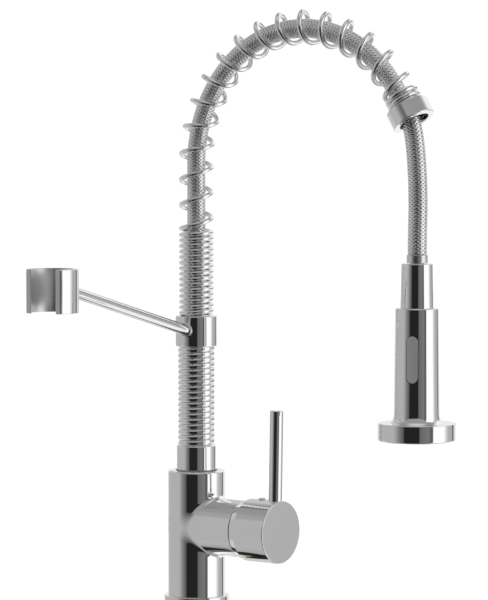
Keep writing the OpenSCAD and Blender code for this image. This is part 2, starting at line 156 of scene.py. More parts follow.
# Distance from the clip's centre to the flat cut of its mouth
CLIP_CUT = 12.7
BUTTON_AZIMUTH = -68.0
BUTTON_W = 8.8

# Points that the hose passes between the ferrule and the spray head, in metres
HOSE_ROUTE = [
    (0.2015, 0, 0.3896), (0.2042, 0, 0.3846), (0.2058, 0, 0.3802), (0.2070, 0, 0.3755),
    (0.2081, 0, 0.3700), (0.2090, 0, 0.3640), (0.2098, 0, 0.3570), (0.2104, 0, 0.3500),
    (0.2109, 0, 0.3425), (0.2113, 0, 0.3350), (0.2115, 0, 0.3265), (0.2116, 0, 0.3180),
    (0.2114, 0, 0.3090), (0.2112, 0, 0.3000), (0.2111, 0, 0.2915), (0.2111, 0, 0.2833),
]


# ---- camera, floor and light ----

CAMERA_AZIMUTH = 37.5
CAMERA_DISTANCE = 2.525
CAMERA_SIDE = 0.0376
CAMERA_HEIGHT = 0.383
CAMERA_PITCH = 3.2
CAMERA_LENS = 236.1


def camera_axes():
    """Unit vectors from the object towards the camera and to the camera's right."""
    a = math.radians(CAMERA_AZIMUTH)
    return Vector((math.sin(a), -math.cos(a), 0)), Vector((math.cos(a), math.sin(a), 0))


def make_camera():
    """A long-lens camera at the fitted viewpoint."""
    back, right = camera_axes()
    data = bpy.data.cameras.new("camera")
    data.sensor_fit = "HORIZONTAL"
    data.sensor_width = 36
    data.lens = CAMERA_LENS
    data.clip_end = 50
    cam = bpy.data.objects.new("camera", data)
    bpy.context.collection.objects.link(cam)
    cam.location = back * CAMERA_DISTANCE + right * CAMERA_SIDE + Vector((0, 0, CAMERA_HEIGHT))
    cam.rotation_euler = (math.radians(90 - CAMERA_PITCH), 0, math.radians(CAMERA_AZIMUTH))
    bpy.context.scene.camera = cam


def node(tree, kind, inputs=None, **props):
    """Adds a shader node, sets its properties and its unlinked inputs."""
    n = tree.nodes.new(kind)
    for key, value in props.items():
        setattr(n, key, value)
    for key, value in (inputs or {}).items():
        n.inputs[key].default_value = value
    return n


def math_node(tree, operation, a, b=0.0):
    """A Math node whose operands are numbers or sockets."""
    n = node(tree, "ShaderNodeMath", operation=operation)
    for i, value in enumerate((a, b)):
        if isinstance(value, (int, float)):
            n.inputs[i].default_value = value
        else:
            tree.links.new(value, n.inputs[i])
    return n.outputs[0]


def ramp(tree, source, stops, ease="LINEAR"):
    """A grey colour ramp with (position, brightness) stops."""
    n = node(tree, "ShaderNodeValToRGB")
    n.color_ramp.interpolation = ease
    elements = n.color_ramp.elements
    while len(elements) < len(stops):
        elements.new(0.5)
    for element, (position, grey) in zip(elements, stops):
        element.position = position
        element.color = (grey, grey, grey, 1)
    tree.links.new(source, n.inputs[0])
    return n.outputs[0]


# Brightness of the studio round the object: degrees from the camera's side, positive to its right
STUDIO_ROUND = [
    (-180, 0.85), (-156, 0.80), (-148, 0.48), (-110, 0.46), (-75, 0.46), (-55, 0.20), (-43, 0.10),
    (-39, 0.017), (4, 0.017), (7, 0.14), (34, 0.20), (36, 0.12), (45, 0.12), (48, 1.10), (84, 1.10),
    (96, 0.62), (105, 0.46), (125, 0.42), (127, 0.10), (133, 0.10), (136, 0.55), (150, 0.90),
    (180, 0.85),
]
# How far up and down, in degrees, the studio's wall reaches on each side
WALL_TOP = [(-180, 12), (-120, 14), (-75, 40), (-45, 19), (8, 17), (34, 24), (48, 40), (100, 40),
            (120, 14), (180, 12)]
WALL_FOOT = [(-180, 12), (-120, 14), (-80, 50), (-45, 66), (40, 66), (60, 50), (100, 45),
             (120, 14), (180, 12)]
# Half the width of the wall's soft edge, in degrees
WALL_EDGE = 5.0
# Share of the bright back cloth in the light from above and below the wall, on each side
CLOTH_SHARE = [(-180, 0.4), (-120, 0.4), (-80, 0), (95, 0), (122, 1), (166, 1), (176, 0.4), (180, 0.4)]
CLOTH_LIGHT = 0.95
# Brightness above and below the wall, by degrees above the horizon
SKY_LIGHT = [(-90, 0.38), (-60, 0.40), (-24, 0.45), (-14, 0.75), (10, 0.75), (18, 0.34), (62, 0.30),
             (74, 0.60), (90, 0.75)]
# Share of the cloth that is kept at each height
CLOTH_HEIGHT = [(-90, 0), (-52, 0), (-40, 1), (38, 1), (48, 0), (90, 0)]

BACKDROP_LIGHT = 1.05
SUN_LIGHT = 2.6
SUN_SPREAD = 40
SUN_TILT = (18, -12)
FLOOR_HALF = 6.0
FLOOR_GAP = 0.0005


def make_world():
    """A white studio with dark flags by the camera, as chrome is photographed."""
    back, right = camera_axes()
    world = bpy.data.worlds.new("studio")
    bpy.context.scene.world = world
    world.use_nodes = True
    tree = world.node_tree
    tree.nodes.clear()
    direction = node(tree, "ShaderNodeTexCoord").outputs["Generated"]
    parts = []
    for axis in (back, right, Vector((0, 0, 1))):
        dot = node(tree, "ShaderNodeVectorMath", operation="DOT_PRODUCT")
        tree.links.new(direction, dot.inputs[0])
        dot.inputs[1].default_value = axis
        parts.append(dot.outputs["Value"])
    around = math_node(tree, "ARCTAN2", parts[1], parts[0])
    around = math_node(tree, "ADD", math_node(tree, "DIVIDE", around, 2 * math.pi), 0.5)
    rise = math_node(tree, "ARCSINE", parts[2])
    degrees = math_node(tree, "MULTIPLY", rise, 180 / math.pi)
    wall = ramp(tree, around, [((a + 180) / 360, v) for a, v in STUDIO_ROUND])
    share = None
    for limits, sign in ((WALL_TOP, -1), (WALL_FOOT, 1)):
        limit = ramp(tree, around, [((a + 180) / 360, v / 90) for a, v in limits])
        left = math_node(tree, "ADD", math_node(tree, "MULTIPLY", limit, 90),
                         math_node(tree, "MULTIPLY", degrees, sign))
        edge = node(tree, "ShaderNodeMapRange", {"From Min": -WALL_EDGE, "From Max": WALL_EDGE},
                    interpolation_type="SMOOTHSTEP")
        tree.links.new(left, edge.inputs["Value"])
        share = edge.outputs[0] if share is None else math_node(tree, "MULTIPLY", share, edge.outputs[0])
    height = math_node(tree, "ADD", math_node(tree, "DIVIDE", rise, math.pi), 0.5)
    sky = ramp(tree, height, [((a + 90) / 180, v) for a, v in SKY_LIGHT])
    cloth_colour = (CLOTH_LIGHT, CLOTH_LIGHT, CLOTH_LIGHT, 1)
    cloth = node(tree, "ShaderNodeMix", {"B": cloth_colour}, data_type="RGBA")
    spread = ramp(tree, around, [((a + 180) / 360, v) for a, v in CLOTH_SHARE])
    drop = ramp(tree, height, [((a + 90) / 180, v) for a, v in CLOTH_HEIGHT])
    tree.links.new(math_node(tree, "MULTIPLY", spread, drop), cloth.inputs["Factor"])
    tree.links.new(sky, cloth.inputs["A"])
    mix = node(tree, "ShaderNodeMix", data_type="RGBA")
    tree.links.new(share, mix.inputs["Factor"])
    tree.links.new(cloth.outputs["Result"], mix.inputs["A"])
    tree.links.new(wall, mix.inputs["B"])
    studio = node(tree, "ShaderNodeBackground")
    tree.links.new(mix.outputs["Result"], studio.inputs["Color"])
    backdrop = node(tree, "ShaderNodeBackground", {"Color": (1, 1, 1, 1), "Strength": BACKDROP_LIGHT})
    seen = node(tree, "ShaderNodeLightPath").outputs["Is Camera Ray"]
    choose = node(tree, "ShaderNodeMixShader")
    out = node(tree, "ShaderNodeOutputWorld")
    tree.links.new(seen, choose.inputs[0])
    tree.links.new(studio.outputs[0], choose.inputs[1])
    tree.links.new(backdrop.outputs[0], choose.inputs[2])
    tree.links.new(choose.outputs[0], out.inputs["Surface"])


def make_floor_and_light():
    """A pale floor just under the part and a soft sun; neither is seen in the chrome."""
    mesh = bpy.data.meshes.new("floor")
    height = CAD_BOUNDS[0][2] - FLOOR_GAP
    corners = [(x * FLOOR_HALF, y * FLOOR_HALF, height) for x, y in ((-1, -1), (1, -1), (1, 1), (-1, 1))]
    mesh.from_pydata(corners, [], [(0, 1, 2, 3)])
    floor = bpy.data.objects.new("floor", mesh)
    bpy.context.collection.objects.link(floor)
    mat = bpy.data.materials.new("pale_floor")
    mat.use_nodes = True
    tree = mat.node_tree
    shader = tree.nodes["Principled BSDF"]
    shader.inputs["Roughness"].default_value = 0.9
    grain = node(tree, "ShaderNodeTexNoise", {"Scale": 40.0, "Detail": 4.0})
    tone = node(tree, "ShaderNodeValToRGB")
    tone.color_ramp.elements[0].color = (0.90, 0.90, 0.90, 1)
    tone.color_ramp.elements[1].color = (0.93, 0.93, 0.93, 1)
    tree.links.new(grain.outputs["Fac"], tone.inputs[0])
    tree.links.new(tone.outputs[0], shader.inputs["Base Color"])
    mesh.materials.append(mat)
    floor.visible_glossy = False
    light = bpy.data.lights.new("overhead", "SUN")
    light.energy = SUN_LIGHT
    light.angle = math.radians(SUN_SPREAD)
    sun = bpy.data.objects.new("overhead", light)
    bpy.context.collection.objects.link(sun)
    sun.rotation_euler = (math.radians(SUN_TILT[0]), math.radians(SUN_TILT[1]), 0)
    sun.visible_glossy = False


make_camera()
make_world()
make_floor_and_light()
bpy.context.scene.view_settings.view_transform = "Standard"


# ---- materials ----

def new_material(name):
    """A new node material with its tree and its surface shader."""
    mat = bpy.data.materials.new(name)
    mat.use_nodes = True
    tree = mat.node_tree
    return mat, tree, tree.nodes["Principled BSDF"]


def grain_socket(tree, scale, detail=3.0, stretch=(1, 1, 1)):
    """Noise in object space, stretched along an axis for brushed or turned surfaces."""
    coords = node(tree, "ShaderNodeTexCoord").outputs["Object"]
    mapping = node(tree, "ShaderNodeMapping", {"Scale": stretch})
    noise = node(tree, "ShaderNodeTexNoise", {"Scale": scale, "Detail": detail})
    tree.links.new(coords, mapping.inputs["Vector"])
    tree.links.new(mapping.outputs[0], noise.inputs["Vector"])
    return noise.outputs["Fac"]


def tint(tree, shader, source, dark, light):
    """Base colour that wanders between two colours with a noise."""
    n = node(tree, "ShaderNodeValToRGB")
    n.color_ramp.elements[0].position = 0.3
    n.color_ramp.elements[1].position = 0.7
    n.color_ramp.elements[0].color = (*dark, 1)
    n.color_ramp.elements[1].color = (*light, 1)
    tree.links.new(source, n.inputs[0])
    tree.links.new(n.outputs[0], shader.inputs["Base Color"])


def roughen(tree, shader, source, smooth, rough):
    """Roughness that wanders between two values with a noise."""
    n = node(tree, "ShaderNodeMapRange", {"To Min": smooth, "To Max": rough})
    tree.links.new(source, n.inputs["Value"])
    tree.links.new(n.outputs[0], shader.inputs["Roughness"])


def bump(tree, shader, source, strength, depth):
    """Fine relief from a height socket."""
    n = node(tree, "ShaderNodeBump", {"Strength": strength, "Distance": depth})
    tree.links.new(source, n.inputs["Height"])
    tree.links.new(n.outputs[0], shader.inputs["Normal"])


def metal(name, dark, light, smooth, rough, scale, stretch=(1, 1, 1), relief=0.0):
    """A metal whose colour, gloss and fine relief vary a little over its surface."""
    mat, tree, shader = new_material(name)
    shader.inputs["Metallic"].default_value = 1.0
    fine = grain_socket(tree, scale, 4.0, stretch)
    broad = grain_socket(tree, scale / 12, 2.0)
    tint(tree, shader, broad, dark, light)
    roughen(tree, shader, fine, smooth, rough)
    if relief:
        bump(tree, shader, fine, 0.4, relief)
    return mat


def plastic(name, dark, light, smooth, rough, scale, relief):
    """A moulded plastic or rubber with a fine texture."""
    mat, tree, shader = new_material(name)
    fine = grain_socket(tree, scale, 5.0)
    broad = grain_socket(tree, scale / 20, 2.0)
    tint(tree, shader, broad, dark, light)
    roughen(tree, shader, fine, smooth, rough)
    bump(tree, shader, fine, 0.5, relief)
    return mat


# Each: name, dark and light colour, smoothest and roughest, grain scale. Last, for some: the
# grain's stretch, and its relief in metres
MATERIALS = {
    "chrome": metal("polished_chrome", (0.90, 0.905, 0.91), (0.935, 0.935, 0.94), 0.02, 0.045, 90),
    "brass": metal("machined_brass", (0.60, 0.51, 0.34), (0.72, 0.63, 0.46), 0.18, 0.34, 400,
                   (1, 1, 8), 0.00004),
    "rubber": plastic("black_rubber", (0.012, 0.012, 0.012), (0.03, 0.03, 0.03), 0.5, 0.75, 600,
                      0.00006),
    "white_plastic": plastic("acetal", (0.74, 0.74, 0.71), (0.82, 0.82, 0.80), 0.35, 0.5, 500,
                             0.00003),
    "grey_plastic": plastic("satin_grey", (0.20, 0.20, 0.205), (0.24, 0.24, 0.245), 0.28, 0.42, 700,
                            0.00002),
    "dark_plastic": plastic("dark_satin", (0.022, 0.022, 0.024), (0.04, 0.04, 0.042), 0.35, 0.5, 700,
                            0.00003),
    "steel": metal("turned_steel", (0.50, 0.50, 0.51), (0.62, 0.62, 0.63), 0.16, 0.30, 500,
                   (1, 1, 10), 0.00003),
    "braided_steel": metal("woven_steel", (0.80, 0.80, 0.81), (0.90, 0.90, 0.91), 0.10, 0.18, 700,
                           (1, 1, 1), 0.00001),
}
SATIN_CHROME = metal("satin_chrome", (0.80, 0.80, 0.81), (0.88, 0.88, 0.89), 0.24, 0.34, 500,
                     (1, 1, 6), 0.00001)
CORE_SHADE = plastic("hose_core", (0.010, 0.010, 0.011), (0.020, 0.020, 0.021), 0.5, 0.6, 600,
                     0.00001)


# ---- mesh making ----

def add_object(name, mesh, body, slot, stands_for):
    """Links a mesh as a piece of the faucet: its body, its material slot and the CAD nodes it shows."""
    obj = bpy.data.objects.new(name, mesh)
    bpy.context.collection.objects.link(obj)
    if not mesh.materials:
        mesh.materials.append(MATERIALS[slot])
    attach(obj, body)
    if stands_for:
        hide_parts(*stands_for)
    return obj


def grid_faces(rows, cols, start, wrap_rows, wrap_cols):
    """Quads between the points of a rows x cols grid."""
    i, j = np.meshgrid(np.arange(rows if wrap_rows else rows - 1),
                       np.arange(cols if wrap_cols else cols - 1), indexing="ij")
    i, j = i.ravel(), j.ravel()
    up, across = (i + 1) % rows, (j + 1) % cols
    return np.stack([i * cols + j, i * cols + across, up * cols + across, up * cols + j], axis=1) + start


def mesh_of(name, points, quads, caps=()):
    """A smooth mesh in metres from points in millimetres, quads and larger end faces."""
    mesh = bpy.data.meshes.new(name)
    faces = [tuple(q) for q in quads.tolist()] + [tuple(c) for c in caps]
    mesh.from_pydata((np.asarray(points) * MM).tolist(), [], faces)
    mesh.polygons.foreach_set("use_smooth", np.ones(len(mesh.polygons), dtype=bool))
    mesh.update()
    return mesh


def tidy(mesh):
    """Merges doubled points, turns every face outwards and drops empty faces."""
    bm = bmesh.new()
    bm.from_mesh(mesh)
    bmesh.ops.remove_doubles(bm, verts=bm.verts, dist=1e-7)
    bmesh.ops.dissolve_degenerate(bm, dist=1e-8, edges=bm.edges)
    bmesh.ops.recalc_face_normals(bm, faces=bm.faces)
    for face in bm.faces:
        face.smooth = True
    bm.to_mesh(mesh)
    bm.free()
    mesh.update()
    return mesh


# Length of the short holds beside a rounding, in millimetres
HOLD = 0.04


def rounded(corners, closed=True, steps=6):
    """Outline through (across, along, radius) corners, each rounded by its radius.

    A short hold before and after each rounding keeps the flats flat in the shading.
    """
    outline = []
    count = len(corners)
    for i, (a, b, r) in enumerate(corners):
        here = np.array((a, b), float)
        if not closed and i in (0, count - 1) or r <= 0:
            outline.append(here)
            continue
        before = np.array(corners[i - 1][:2], float) - here
        after = np.array(corners[(i + 1) % count][:2], float) - here
        u, v = before / np.linalg.norm(before), after / np.linalg.norm(after)
        half = math.acos(float(np.clip(u @ v, -1, 1))) / 2
        reach = min(r / math.tan(half), 0.49 * np.linalg.norm(before), 0.49 * np.linalg.norm(after))
        r = reach * math.tan(half)
        inward = (u + v) / np.linalg.norm(u + v)
        centre = here + inward * r / math.sin(half)
        first, last = here + u * reach - centre, here + v * reach - centre
        turn = math.pi - 2 * half
        hold = min(HOLD, reach * 0.5)
        outline.append(here + u * (reach + hold))
        for k in range(steps + 1):
            w = k / steps
            p = (math.sin((1 - w) * turn) * first + math.sin(w * turn) * last) / math.sin(turn)
            outline.append(centre + p)
        outline.append(here + v * (reach + hold))
    return np.array(outline)


def lathe_mesh(name, corners, centre=(0, 0), closed=True, steps=144, about_x=False, turn_steps=6):
    """Turns an outline of (radius, height, rounding) corners round an axis.

    The axis is vertical through centre, or with about_x lies along X at the handle's height.
    """
    outline = rounded(corners, closed, turn_steps)
    angle = np.linspace(0, 2 * math.pi, steps, endpoint=False)
    r, h = outline[:, 0][:, None], outline[:, 1][:, None]
    if about_x:
        points = np.stack(np.broadcast_arrays(h, r * np.cos(angle), HANDLE_Z + r * np.sin(angle)), -1)
    else:
        points = np.stack(np.broadcast_arrays(centre[0] + r * np.cos(angle),
                                              centre[1] + r * np.sin(angle), h), -1)
    quads = grid_faces(len(outline), steps, 0, closed, True)
    return tidy(mesh_of(name, points.reshape(-1, 3), quads))


def transport_frames(path):
    """Tangents and two cross directions carried along a path without twist."""
    path = np.asarray(path, float)
    tangent = np.gradient(path, axis=0)
    tangent /= np.linalg.norm(tangent, axis=1)[:, None]
    across = np.zeros_like(path)
    start = np.array((0, 1.0, 0)) if abs(tangent[0][1]) < 0.9 else np.array((1.0, 0, 0))
    across[0] = start - tangent[0] * (start @ tangent[0])
    across[0] /= np.linalg.norm(across[0])
    for i in range(1, len(path)):
        a = across[i - 1] - tangent[i] * (across[i - 1] @ tangent[i])
        across[i] = a / np.linalg.norm(a)
    return tangent, across, np.cross(tangent, across)


def sweep(path, outline):
    """Points and faces of a closed outline of (side, up) points carried along a path, with flat ends."""
    path = np.asarray(path, float)
    _, across, up = transport_frames(path)
    side, rise = outline[:, 0], outline[:, 1]
    points = (path[:, None, :] + across[:, None, :] * side[None, :, None]
              + up[:, None, :] * rise[None, :, None])
    n, m = len(path), len(outline)
    quads = grid_faces(n, m, 0, False, True)
    caps = [tuple(range(m))[::-1], tuple(range((n - 1) * m, n * m))]
    return points.reshape(-1, 3), quads, caps


def circle_outline(radius, sides):
    """Closed round outline of (side, up) points."""
    a = np.linspace(0, 2 * math.pi, sides, endpoint=False)
    return np.stack([radius * np.cos(a), radius * np.sin(a)], 1)


def wire_mesh(name, path, radius, sides=12):
    """A round wire along a path."""
    return tidy(mesh_of(name, *sweep(path, circle_outline(radius, sides))))


# ---- the arch's centre line ----

def arch_frame(run, radius=ARCH_R):
    """Centre, direction and outward direction of the arch, at distances above ARCH_Z along it."""
    run = np.asarray(run, float)
    length = radius * math.radians(ARCH_TURN)
    angle = np.radians(np.clip(run / length, 0, 1) * ARCH_TURN)
    ahead = np.stack([np.sin(angle), np.zeros_like(angle), np.cos(angle)], -1)
    outward = np.stack([-np.cos(angle), np.zeros_like(angle), np.sin(angle)], -1)
    centre = np.stack([radius * (1 - np.cos(angle)), np.zeros_like(angle),
                       ARCH_Z + radius * np.sin(angle)], -1)
    extra = np.minimum(run, 0) + np.maximum(run - length, 0)
    return centre + ahead * extra[..., None], ahead, outward


def coil_path(turn_marks, run_marks, coil_r, phase, steps=40):
    """Helix about the arch's centre line. Marks pair numbers of turns with distances along it."""
    turns = np.linspace(turn_marks[0], turn_marks[-1], int((turn_marks[-1] - turn_marks[0]) * steps))
    run = np.interp(turns, turn_marks, run_marks)
    window = np.ones(steps // 2) / (steps // 2)
    padded = np.concatenate([2 * run[0] - run[steps // 4:0:-1], run,
                             2 * run[-1] - run[-2:-steps // 4 - 2:-1]])
    smooth = np.convolve(padded, window, "same")[steps // 4:steps // 4 + len(run)]
    centre, _, outward = arch_frame(smooth)
    angle = 2 * math.pi * (turns + phase)
    sideways = np.array((0, -1.0, 0))
    out = np.cos(angle)[:, None] * outward + np.sin(angle)[:, None] * sideways
    return centre + out * coil_r


# ---- hose ----

# Distance along the hose in which a ribbon goes round it once; BRAID_CARRIERS wind each way
BRAID_LAY = 22.0
BRAID_CARRIERS = 8
RIBBON_W = 2.2
RIBBON_DOME = 0.22
BRAID_LIFT = 0.16
# How far the core's skin is below the hose's outside
CORE_DROP = 0.62
ROUTE_STEP = 0.001
# The hose runs from this far under the arch to this far past its end, along the arch's centre line
HOSE_START = -66
HOSE_PAST_END = 16.5


def ribbon_outline():
    """Cross-section of one braid ribbon, as (along the hose's skin, away from it): a flattened dome."""
    along = np.linspace(-RIBBON_W / 2, RIBBON_W / 2, 7)
    return along, RIBBON_DOME * (1 - (2 * along / RIBBON_W) ** 2)


def braid(path, hose_r, steps_per_crossing=4):
    """Points and quads of ribbons of wire plaited over and under round a path."""
    path = np.asarray(path, float)
    seg = np.linalg.norm(np.diff(path, axis=0), axis=1)
    run = np.concatenate([[0], np.cumsum(seg)])
    crossing = BRAID_LAY / (2 * BRAID_CARRIERS)
    t = np.linspace(0, run[-1], int(run[-1] / crossing * steps_per_crossing) + 1)
    line = np.stack([np.interp(t, run, path[:, k]) for k in range(3)], 1)
    _, across, up = transport_frames(line)
    along, away = ribbon_outline()
    mean_r = hose_r - RIBBON_DOME - BRAID_LIFT
    lean = math.atan2(2 * math.pi * mean_r, BRAID_LAY)
    points, quads = [], []
    total = 0
    for hand in (1, -1):
        lift = hand * BRAID_LIFT * np.cos(math.pi * t / crossing)
        for carrier in range(BRAID_CARRIERS):
            turn = hand * 2 * math.pi * t / BRAID_LAY + 2 * math.pi * carrier / BRAID_CARRIERS
            # a point beside the ribbon's middle is at another angle round the hose at the same distance
            angle = turn[:, None] + along[None, :] / math.cos(lean) / mean_r
            radius = mean_r + lift[:, None] + away[None, :]
            p = line[:, None, :] + radius[..., None] * (np.cos(angle)[..., None] * across[:, None, :]
                                                       + np.sin(angle)[..., None] * up[:, None, :])
            points.append(p.reshape(-1, 3))
            quads.append(grid_faces(len(t), len(along), total, False, True))
            total += len(t) * len(along)
    return np.concatenate(points), np.concatenate(quads)


def hose_mesh(name, path, hose_r):
    """A braided hose: a plain core under plaited ribbons of wire."""
    points, quads = braid(path, hose_r)
    core, core_quads, caps = sweep(path, circle_outline(hose_r - CORE_DROP, 24))
    start = len(points)
    mesh = mesh_of(name, np.concatenate([points, core]), np.concatenate([quads, core_quads + start]),
                   [tuple(i + start for i in c) for c in caps])
    mesh.materials.append(MATERIALS["braided_steel"])
    mesh.materials.append(CORE_SHADE)
    shade = np.zeros(len(mesh.polygons), dtype=np.int32)
    shade[len(quads):] = 1
    mesh.polygons.foreach_set("material_index", shade)
    return mesh


def smooth_route(points, step):
    """A smooth curve through points, with a point at every step, in the points' own units."""
    pts = [Vector(p) for p in points]
    pts = [pts[0] * 2 - pts[1]] + pts + [pts[-1] * 2 - pts[-2]]
    line = []
    for a, b, c, d in zip(pts, pts[1:], pts[2:], pts[3:]):
        count = max(2, int((c - b).length / step))
        for k in range(count):
            t = k / count
            line.append(0.5 * (2 * b + (c - a) * t + (2 * a - 5 * b + 4 * c - d) * t * t
                               + (3 * b - a - 3 * c + d) * t ** 3))
    line.append(pts[-2])
    return np.array(line)


def make_hose_drop():
    """The free hose, which stretches between the ferrule and the spray head."""
    line = smooth_route(HOSE_ROUTE, ROUTE_STEP)
    mesh = hose_mesh("hose_drop_braid", line / MM, HOSE_R)
    obj = bpy.data.objects.new("hose_drop_braid", mesh)
    bpy.context.collection.objects.link(obj)
    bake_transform(obj)
    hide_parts("hose_drop")


def make_hose_arch():
    """The hose inside the springs, bent a little tighter than the arch."""
    radius = ARCH_R - 1
    arc = radius * math.radians(ARCH_TURN)
    run = np.arange(HOSE_START, arc + HOSE_PAST_END, 1.0)
    centre, _, _ = arch_frame(run, radius)
    add_object("hose_arch_braid", hose_mesh("hose_arch_braid", centre, HOSE_R), "spout",
               "braided_steel", ["hose_arch"])


make_hose_drop()
make_hose_arch()


# ---- springs ----

# The phase is a share of a turn; lengths along the springs are in millimetres
SPRING_PHASE = 0.145
WIRE_R = 2.0
COIL_R = 11.9
CLOSED_RUN = 66.0
CLOSED_PITCH = 4.4
OPEN_PITCH = 20.0
SEAT_RUN = 14.4
LOWER_RIBS = 18
CROWN_R = 3.3
RIB_INNER_R = 11.0
SPRING_GAP = 0.3
RIB_GAP = 0.07
RIB_SIDE = 0.12
RIB_LIP = 0.25
RIB_PHASE = 0.3


def cut_level(mesh, height, keep_above):
    """Cuts a mesh flat at a height in millimetres and closes the cut."""
    bm = bmesh.new()
    bm.from_mesh(mesh)
    cut = bmesh.ops.bisect_plane(bm, geom=bm.verts[:] + bm.edges[:] + bm.faces[:], dist=1e-7,
                                 plane_co=(0, 0, height * MM), plane_no=(0, 0, -1 if keep_above else 1),
                                 clear_outer=True)
    rim = [e for e in cut["geom_cut"] if isinstance(e, bmesh.types.BMEdge)]
    made = bmesh.ops.holes_fill(bm, edges=rim, sides=0)
    for face in made["faces"]:
        face.smooth = False
    bmesh.ops.recalc_face_normals(bm, faces=bm.faces)
    bm.to_mesh(mesh)
    bm.free()
    mesh.set_sharp_from_angle(angle=math.radians(35))
    return mesh


def make_arch_spring():
    """The wound wire: closed above the collar, open round the arch, closed at the ferrule."""
    start = COLLAR_TOP + SPRING_GAP + WIRE_R - ARCH_Z
    arc = ARCH_R * math.radians(ARCH_TURN)
    stops = [-CLOSED_PITCH, CLOSED_RUN, arc - start, arc - start + SEAT_RUN]
    turns = [-1, CLOSED_RUN / CLOSED_PITCH]
    turns.append(turns[1] + (stops[2] - stops[1]) / OPEN_PITCH)
    turns.append(turns[2] + (stops[3] - stops[2]) / CLOSED_PITCH)
    path = coil_path(turns, [s + start for s in stops], COIL_R, SPRING_PHASE)
    mesh = cut_level(wire_mesh("arch_spring_wire", path, WIRE_R, 14), COLLAR_TOP + 0.05, True)
    add_object("arch_spring_wire", mesh, "spout", "chrome", ["arch_spring"])


def make_lower_spring():
    """A close-wound spring of wire with a broad, shallow crown, ground flat at both ends."""
    pitch = (COLLAR_Z - SPRING_GAP - NECK_TOP) / LOWER_RIBS
    beside = pitch / 2 - RIB_GAP
    rise = np.linspace(-1, 1, 13) * (beside - RIB_SIDE)
    crown = LOWER_R - CROWN_R + np.sqrt(CROWN_R ** 2 - rise ** 2)
    outline_r = np.concatenate([[RIB_INNER_R, crown[0] - RIB_LIP], crown,
                                [crown[-1] - RIB_LIP, RIB_INNER_R]])
    outline_z = np.concatenate([[-beside, -beside], rise, [beside, beside]])
    turns = np.linspace(-1, LOWER_RIBS + 1, (LOWER_RIBS + 2) * 60)
    angle = 2 * math.pi * (turns + RIB_PHASE)
    r = outline_r[None, :]
    points = np.stack(np.broadcast_arrays(
        r * np.cos(angle)[:, None], r * np.sin(angle)[:, None],
        NECK_TOP + turns[:, None] * pitch + outline_z[None, :]), -1).reshape(-1, 3)
    rows, cols = len(turns), len(outline_r)
    caps = [tuple(range(cols))[::-1], tuple(range((rows - 1) * cols, rows * cols))]
    mesh = tidy(mesh_of("lower_spring_wire", points, grid_faces(rows, cols, 0, False, True), caps))
    cut_level(mesh, NECK_TOP + 0.02, True)
    cut_level(mesh, COLLAR_Z - 0.05, False)
    add_object("lower_spring_wire", mesh, "spout", "chrome", ["lower_spring"])


make_arch_spring()
make_lower_spring()


# ---- body with its side branch ----

SADDLE = 3.4
SADDLE_SPREAD = 0.2
BODY_TRIM = 3.4
BODY_EDGE = 2.4
BODY_HOLLOW_R = 19
SPIGOT_HOLE_R = 14.5
SPIGOT_HOLE_DEPTH = 8
BRANCH_HOLLOW_R = 18.2
BRANCH_HOLLOW_X = 25
SKIN_VOXEL = 0.8
SETTLE_ROUNDS = 6


def body_surface(p):
    """Column and branch as one surface, below zero inside, rounded where they meet at an angle."""
    x, y, z = p[:, 0], p[:, 1], p[:, 2] - HANDLE_Z
    ahead = np.minimum(x, 0)
    column = np.hypot(x, y)
    branch = np.sqrt(ahead ** 2 + y ** 2 + z ** 2)
    agree = (x * ahead + y * y) / np.maximum(column * branch, 1e-9)
    k = SADDLE * np.clip(1 - agree, 0.0, 1) ** SADDLE_SPREAD + 0.01
    a, b = column - BODY_R, branch - BRANCH_R
    h = np.maximum(k - np.abs(a - b), 0) / k
    return np.minimum(a, b) - h * h * k / 4


def slope(f, p, d=0.01):
    """Gradient of a surface function at points."""
    g = np.empty_like(p)
    for axis in range(3):
        move = np.zeros(3)
        move[axis] = d
        g[:, axis] = (f(p + move) - f(p - move)) / (2 * d)
    return g


def cylinder_into(bm, radius, low_end, high_end, about_x=False):
    """Adds a cylinder about Z, or about the handle's axis."""
    matrix = Matrix.Translation((0, 0, (low_end + high_end) / 2))
    if about_x:
        matrix = (Matrix.Translation(((low_end + high_end) / 2, 0, HANDLE_Z))
                  @ Matrix.Rotation(math.pi / 2, 4, "Y"))
    bmesh.ops.create_cone(bm, cap_ends=True, segments=96, radius1=radius, radius2=radius,
                          depth=high_end - low_end, matrix=matrix)


def skin_of(bm_build, voxel):
    """One even skin over overlapping solids, as points and faces."""
    mesh = bpy.data.meshes.new("skin")
    bm = bmesh.new()
    bm_build(bm)
    bm.to_mesh(mesh)
    bm.free()
    obj = bpy.data.objects.new("skin", mesh)
    bpy.context.collection.objects.link(obj)
    modifier = obj.modifiers.new("skin", "REMESH")
    modifier.mode = "VOXEL"
    modifier.voxel_size = voxel
    depsgraph = bpy.context.evaluated_depsgraph_get()
    skin = bpy.data.meshes.new_from_object(obj.evaluated_get(depsgraph))
    bpy.data.objects.remove(obj)
    bpy.data.meshes.remove(mesh)
    return skin


